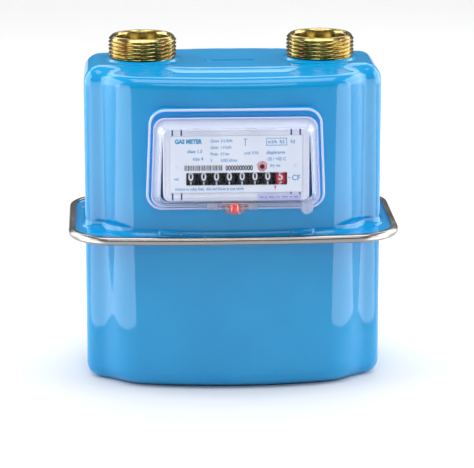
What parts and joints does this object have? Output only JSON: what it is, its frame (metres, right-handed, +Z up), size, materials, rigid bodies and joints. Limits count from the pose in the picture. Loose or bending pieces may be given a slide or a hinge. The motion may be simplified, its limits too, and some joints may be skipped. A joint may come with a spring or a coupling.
{
  "type": "gas meter",
  "caption": "Domestic diaphragm gas meter: two-part drawn steel case with a crimp band, two threaded top connections and a number-wheel counter under a clear sealed cover.",
  "frame": {"origin": "on the flat underside, midway between the two connections", "axes": "+Z up along the connections' axes, front with the counter towards -Y, gas inlet at -X and outlet at +X"},
  "size_m": [0.204, 0.1329, 0.213],
  "materials": {
    "blue_paint": "gloss blue stoving enamel on drawn steel",
    "yellow_zinc": "yellow passivated zinc on turned steel",
    "bright_steel": "bright rolled or turned steel",
    "dark_rubber": "moulded nitrile rubber",
    "white_plastic": "white moulded plastic",
    "clear_plastic": "clear moulded polycarbonate",
    "black_plastic": "black moulded plastic",
    "red_plastic": "red moulded plastic",
    "grey_plastic": "grey moulded plastic",
    "ivory_plastic": "ivory moulded acetal",
    "diaphragm_cloth": "rubber coated cloth",
    "brass": "turned brass"
  },
  "bodies": {
    "case": {"upper_case": "blue_paint", "lower_case": "blue_paint", "inlet_connector": "yellow_zinc", "outlet_connector": "yellow_zinc", "crimp_band": "bright_steel", "wheel_shaft": "bright_steel", "pinion_shaft": "bright_steel", "gear_bracket": "bright_steel", "case_gasket": "dark_rubber", "front_flag_bush": "dark_rubber", "back_flag_bush": "dark_rubber", "duct_sleeve": "dark_rubber", "index_tray": "white_plastic", "faceplate": "white_plastic", "index_cover": "clear_plastic", "seal_cup": "clear_plastic", "test_pin": "black_plastic", "seal_core": "red_plastic", "chamber_block": "grey_plastic", "front_pan": "grey_plastic", "back_pan": "grey_plastic", "outlet_duct": "grey_plastic", "valve_seat": "ivory_plastic", "front_diaphragm": "diaphragm_cloth", "back_diaphragm": "diaphragm_cloth", "gland_bush": "brass"},
    "crank": {"crank_shaft": "bright_steel", "crank_worm": "ivory_plastic", "rotary_valve": "ivory_plastic"},
    "gear_shaft": {"gear_spindle": "bright_steel", "worm_wheel": "ivory_plastic", "spur_pinion": "ivory_plastic"},
    "drive": {"drive_shaft": "bright_steel", "spur_wheel": "ivory_plastic"},
    "wheel_1": {"number_wheel_1": "black_plastic"},
    "wheel_2": {"number_wheel_2": "black_plastic"},
    "wheel_3": {"number_wheel_3": "black_plastic"},
    "wheel_4": {"number_wheel_4": "black_plastic"},
    "wheel_5": {"number_wheel_5": "black_plastic"},
    "wheel_6": {"number_wheel_6": "black_plastic"},
    "wheel_7": {"number_wheel_7": "black_plastic"},
    "wheel_8": {"number_wheel_8": "red_plastic"},
    "pinion_1": {"transfer_pinion_1": "grey_plastic"},
    "pinion_2": {"transfer_pinion_2": "grey_plastic"},
    "pinion_3": {"transfer_pinion_3": "grey_plastic"},
    "pinion_4": {"transfer_pinion_4": "grey_plastic"},
    "pinion_5": {"transfer_pinion_5": "grey_plastic"},
    "pinion_6": {"transfer_pinion_6": "grey_plastic"},
    "pinion_7": {"transfer_pinion_7": "grey_plastic"},
    "front_flag": {"front_flag_rod": "bright_steel", "front_flag_lever": "ivory_plastic"},
    "front_link": {"front_link": "ivory_plastic"},
    "front_plate": {"front_diaphragm_plate": "bright_steel"},
    "back_flag": {"back_flag_rod": "bright_steel", "back_flag_lever": "ivory_plastic"},
    "back_link": {"back_link": "ivory_plastic"},
    "back_plate": {"back_diaphragm_plate": "bright_steel"}
  },
  "joints": [
    {"name": "crank_spin", "type": "hinge", "parent": "case", "child": "crank", "pos_m": [0, 0, 0.13], "axis": [0, 0, 1], "continuous": true},
    {"name": "gear_spin", "type": "hinge", "parent": "case", "child": "gear_shaft", "pos_m": [0.014, 0, 0.1358], "axis": [0, 1, 0], "continuous": true},
    {"name": "drive_spin", "type": "hinge", "parent": "case", "child": "drive", "pos_m": [0.0362, -0.03, 0.1358], "axis": [0, 1, 0], "continuous": true},
    {"name": "wheel_8_spin", "type": "hinge", "parent": "case", "child": "wheel_8", "pos_m": [0.02761, -0.0546, 0.1358], "axis": [1, 0, 0], "continuous": true},
    {"name": "wheel_7_spin", "type": "hinge", "parent": "case", "child": "wheel_7", "pos_m": [0.01988, -0.0546, 0.1358], "axis": [1, 0, 0], "continuous": true},
    {"name": "pinion_7_spin", "type": "hinge", "parent": "case", "child": "pinion_7", "pos_m": [0.02268, -0.04881, 0.12721], "axis": [1, 0, 0], "continuous": true},
    {"name": "wheel_6_spin", "type": "hinge", "parent": "case", "child": "wheel_6", "pos_m": [0.01215, -0.0546, 0.1358], "axis": [1, 0, 0], "continuous": true},
    {"name": "pinion_6_spin", "type": "hinge", "parent": "case", "child": "pinion_6", "pos_m": [0.01495, -0.04881, 0.12721], "axis": [1, 0, 0], "continuous": true},
    {"name": "wheel_5_spin", "type": "hinge", "parent": "case", "child": "wheel_5", "pos_m": [0.00442, -0.0546, 0.1358], "axis": [1, 0, 0], "continuous": true},
    {"name": "pinion_5_spin", "type": "hinge", "parent": "case", "child": "pinion_5", "pos_m": [0.00722, -0.04881, 0.12721], "axis": [1, 0, 0], "continuous": true},
    {"name": "wheel_4_spin", "type": "hinge", "parent": "case", "child": "wheel_4", "pos_m": [-0.00331, -0.0546, 0.1358], "axis": [1, 0, 0], "continuous": true},
    {"name": "pinion_4_spin", "type": "hinge", "parent": "case", "child": "pinion_4", "pos_m": [-0.00051, -0.04881, 0.12721], "axis": [1, 0, 0], "continuous": true},
    {"name": "wheel_3_spin", "type": "hinge", "parent": "case", "child": "wheel_3", "pos_m": [-0.01104, -0.0546, 0.1358], "axis": [1, 0, 0], "continuous": true},
    {"name": "pinion_3_spin", "type": "hinge", "parent": "case", "child": "pinion_3", "pos_m": [-0.00824, -0.04881, 0.12721], "axis": [1, 0, 0], "continuous": true},
    {"name": "wheel_2_spin", "type": "hinge", "parent": "case", "child": "wheel_2", "pos_m": [-0.01877, -0.0546, 0.1358], "axis": [1, 0, 0], "continuous": true},
    {"name": "pinion_2_spin", "type": "hinge", "parent": "case", "child": "pinion_2", "pos_m": [-0.01597, -0.04881, 0.12721], "axis": [1, 0, 0], "continuous": true},
    {"name": "wheel_1_spin", "type": "hinge", "parent": "case", "child": "wheel_1", "pos_m": [-0.0265, -0.0546, 0.1358], "axis": [1, 0, 0], "continuous": true},
    {"name": "pinion_1_spin", "type": "hinge", "parent": "case", "child": "pinion_1", "pos_m": [-0.0237, -0.04881, 0.12721], "axis": [1, 0, 0], "continuous": true},
    {"name": "front_flag_swing", "type": "hinge", "parent": "case", "child": "front_flag", "pos_m": [-0.046, -0.019, 0.1], "axis": [0, 0, 1], "range_deg": [-28.6, 5.5]},
    {"name": "front_plate_stroke", "type": "slide", "parent": "case", "child": "front_plate", "axis": [0, 1, 0], "range_m": [-0.0221, 0.0043]},
    {"name": "front_link_swing", "type": "hinge", "parent": "front_flag", "child": "front_link", "pos_m": [-0.03006, -0.02953, 0.152], "axis": [0, 0, 1], "range_deg": [-3, 36]},
    {"name": "back_flag_swing", "type": "hinge", "parent": "case", "child": "back_flag", "pos_m": [-0.046, 0.019, 0.1], "axis": [0, 0, 1], "range_deg": [-5.5, 28.6]},
    {"name": "back_plate_stroke", "type": "slide", "parent": "case", "child": "back_plate", "axis": [0, 1, 0], "range_m": [-0.0043, 0.0221]},
    {"name": "back_link_swing", "type": "hinge", "parent": "back_flag", "child": "back_link", "pos_m": [-0.03006, 0.02953, 0.152], "axis": [0, 0, 1], "range_deg": [-36, 3]}
  ],
  "couplings": [
    {"joint": "gear_spin", "follows": "crank_spin", "ratio": 0.05},
    {"joint": "drive_spin", "follows": "crank_spin", "ratio": -0.025},
    {"joint": "wheel_8_spin", "follows": "crank_spin", "ratio": -0.025},
    {"joint": "wheel_7_spin", "follows": "crank_spin", "ratio": -0.0025},
    {"joint": "pinion_7_spin", "follows": "crank_spin", "ratio": 0.00625},
    {"joint": "wheel_6_spin", "follows": "crank_spin", "ratio": -0.00025},
    {"joint": "pinion_6_spin", "follows": "crank_spin", "ratio": 0.000625},
    {"joint": "wheel_5_spin", "follows": "crank_spin", "ratio": -0.000025},
    {"joint": "pinion_5_spin", "follows": "crank_spin", "ratio": 0.0000625},
    {"joint": "wheel_4_spin", "follows": "crank_spin", "ratio": -0.0000025},
    {"joint": "pinion_4_spin", "follows": "crank_spin", "ratio": 0.00000625},
    {"joint": "wheel_3_spin", "follows": "crank_spin", "ratio": -0.00000025},
    {"joint": "pinion_3_spin", "follows": "crank_spin", "ratio": 0.000000625},
    {"joint": "wheel_2_spin", "follows": "crank_spin", "ratio": -0.000000025},
    {"joint": "pinion_2_spin", "follows": "crank_spin", "ratio": 0.0000000625},
    {"joint": "wheel_1_spin", "follows": "crank_spin", "ratio": -0.0000000025},
    {"joint": "pinion_1_spin", "follows": "crank_spin", "ratio": 0.00000000625},
    {"joint": "front_plate_stroke", "follows": "front_flag_swing", "m_per_rad": 0.044},
    {"joint": "back_plate_stroke", "follows": "back_flag_swing", "m_per_rad": 0.044}
  ]
}
